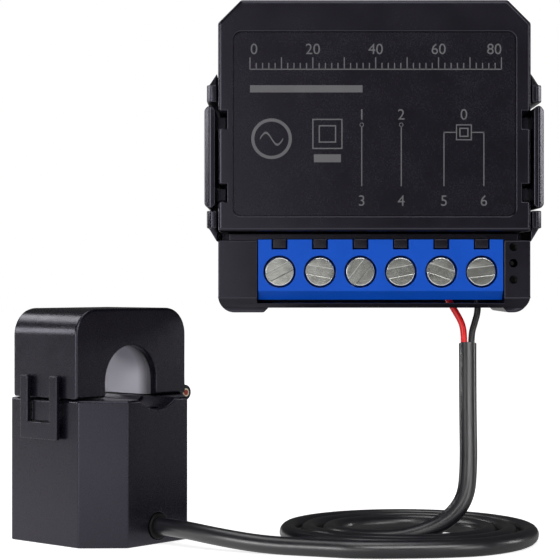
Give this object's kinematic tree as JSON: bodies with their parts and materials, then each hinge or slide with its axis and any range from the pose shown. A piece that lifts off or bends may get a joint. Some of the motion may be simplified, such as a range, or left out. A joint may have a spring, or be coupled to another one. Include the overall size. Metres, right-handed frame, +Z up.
{
  "type": "smart energy monitor",
  "caption": "Small square energy metering module with a row of blue screw terminals, and a split-core current clamp on a coiled two-core cord.",
  "frame": {"origin": "middle of the case's flat back, at mount back_face", "axes": "+X to the right seen from the front, +Y out of the back, +Z up"},
  "size_m": [0.0684, 0.0336, 0.0689],
  "materials": {
    "case_plastic": "satin black",
    "label": "matt black sheet with grey print",
    "clamp_plastic": "satin black",
    "liner_plastic": "smooth grey",
    "terminal_plastic": "blue, slightly glossy",
    "screw_steel": "zinc plated",
    "cage_steel": "zinc plated",
    "contact_brass": "tinned brass",
    "board": "green solder mask",
    "ferrite": "dull dark grey",
    "winding": "enamelled copper under clear tape",
    "bobbin_plastic": "moulded cream",
    "capacitor_sleeve": "printed sleeve, bare top",
    "shield_tin": "pressed tinplate",
    "glass_fuse": "clear",
    "varistor_coat": "epoxy coat",
    "chip_black": "moulded black",
    "spring_steel": "bright",
    "button_plastic": "black",
    "lens": "clear",
    "lamp": "moulded",
    "pin_copper": "copper coloured",
    "ring_plastic": "cream",
    "cord_jacket": "satin black",
    "wire_red": "smooth red",
    "wire_black": "smooth black",
    "copper_strands": "tinned copper"
  },
  "bodies": {
    "case": {"rear_housing": "case_plastic", "front_cover": "case_plastic", "front_label": "label", "side_clip_left": "case_plastic", "side_clip_right": "case_plastic", "terminal_block": "terminal_plastic", "terminal_contacts": "contact_brass", "circuit_board": "board", "transformer_core": "ferrite", "transformer_winding": "winding", "bulk_capacitors": "capacitor_sleeve", "radio_board": "board", "radio_shield": "shield_tin", "input_fuse": "glass_fuse", "surge_varistor": "varistor_coat", "filter_choke": "ferrite", "bridge_rectifier": "chip_black", "metering_chip": "chip_black", "reset_switch": "chip_black", "status_lamps": "lamp", "light_guides": "lens", "clamp_body": "clamp_plastic", "clamp_floor": "clamp_plastic", "trough_liner": "liner_plastic", "hinge_pin": "pin_copper", "hinge_rings": "ring_plastic", "lower_core": "ferrite", "winding_bobbin": "bobbin_plastic", "secondary_winding": "winding", "clamp_board": "board", "cord_grommet": "cord_jacket", "cord_lead": "cord_jacket", "cord_coil": "cord_jacket", "cord_riser": "cord_jacket", "core_red": "wire_red", "core_black": "wire_black", "core_ends": "copper_strands"},
    "jaw": {"clamp_jaw": "clamp_plastic", "jaw_liner": "liner_plastic", "upper_core": "ferrite", "core_spring": "spring_steel"},
    "latch": {"jaw_latch": "clamp_plastic"},
    "reset": {"reset_plunger": "button_plastic"},
    "screw_1": {"terminal_screw_1": "screw_steel"},
    "cage_1": {"clamp_cage_1": "cage_steel"},
    "screw_2": {"terminal_screw_2": "screw_steel"},
    "cage_2": {"clamp_cage_2": "cage_steel"},
    "screw_3": {"terminal_screw_3": "screw_steel"},
    "cage_3": {"clamp_cage_3": "cage_steel"},
    "screw_4": {"terminal_screw_4": "screw_steel"},
    "cage_4": {"clamp_cage_4": "cage_steel"},
    "screw_5": {"terminal_screw_5": "screw_steel"},
    "cage_5": {"clamp_cage_5": "cage_steel"},
    "screw_6": {"terminal_screw_6": "screw_steel"},
    "cage_6": {"clamp_cage_6": "cage_steel"}
  },
  "joints": [
    {"name": "jaw_hinge", "type": "hinge", "parent": "case", "child": "jaw", "pos_m": [-0.02882, 0.00267, -0.03064], "axis": [-0.7593, 0.6508, 0], "range_deg": [0, 110]},
    {"name": "latch_flex", "type": "hinge", "parent": "jaw", "child": "latch", "pos_m": [-0.04248, -0.01326, -0.02808], "axis": [-0.7593, 0.6508, 0], "range_deg": [0, 18], "stiffness_Nm_per_rad": 0.02},
    {"name": "reset_press", "type": "slide", "parent": "case", "child": "reset", "axis": [0, 1, 0], "range_m": [0, 0.00025], "stiffness_N_per_m": 800, "springref_m": -0.0002},
    {"name": "screw_1_turn", "type": "hinge", "parent": "case", "child": "screw_1", "pos_m": [-0.0119, -0.0154, -0.01446], "axis": [0, -1, 0], "range_deg": [0, 1441]},
    {"name": "cage_1_travel", "type": "slide", "parent": "case", "child": "cage_1", "axis": [0, 1, 0], "range_m": [0, 0.002]},
    {"name": "screw_2_turn", "type": "hinge", "parent": "case", "child": "screw_2", "pos_m": [-0.00682, -0.0154, -0.01446], "axis": [0, -1, 0], "range_deg": [0, 1441]},
    {"name": "cage_2_travel", "type": "slide", "parent": "case", "child": "cage_2", "axis": [0, 1, 0], "range_m": [0, 0.002]},
    {"name": "screw_3_turn", "type": "hinge", "parent": "case", "child": "screw_3", "pos_m": [-0.00174, -0.0154, -0.01446], "axis": [0, -1, 0], "range_deg": [0, 1441]},
    {"name": "cage_3_travel", "type": "slide", "parent": "case", "child": "cage_3", "axis": [0, 1, 0], "range_m": [0, 0.002]},
    {"name": "screw_4_turn", "type": "hinge", "parent": "case", "child": "screw_4", "pos_m": [0.00334, -0.0154, -0.01446], "axis": [0, -1, 0], "range_deg": [0, 1441]},
    {"name": "cage_4_travel", "type": "slide", "parent": "case", "child": "cage_4", "axis": [0, 1, 0], "range_m": [0, 0.002]},
    {"name": "screw_5_turn", "type": "hinge", "parent": "case", "child": "screw_5", "pos_m": [0.00842, -0.0154, -0.01446], "axis": [0, -1, 0], "range_deg": [0, 1441]},
    {"name": "cage_5_travel", "type": "slide", "parent": "case", "child": "cage_5", "axis": [0, 1, 0], "range_m": [0, 0.002]},
    {"name": "screw_6_turn", "type": "hinge", "parent": "case", "child": "screw_6", "pos_m": [0.0135, -0.0154, -0.01446], "axis": [0, -1, 0], "range_deg": [0, 1441]},
    {"name": "cage_6_travel", "type": "slide", "parent": "case", "child": "cage_6", "axis": [0, 1, 0], "range_m": [0, 0.002]}
  ],
  "couplings": [
    {"joint": "screw_1_turn", "follows": "cage_1_travel", "rad_per_m": 12566},
    {"joint": "screw_2_turn", "follows": "cage_2_travel", "rad_per_m": 12566},
    {"joint": "screw_3_turn", "follows": "cage_3_travel", "rad_per_m": 12566},
    {"joint": "screw_4_turn", "follows": "cage_4_travel", "rad_per_m": 12566},
    {"joint": "screw_5_turn", "follows": "cage_5_travel", "rad_per_m": 12566},
    {"joint": "screw_6_turn", "follows": "cage_6_travel", "rad_per_m": 12566}
  ]
}
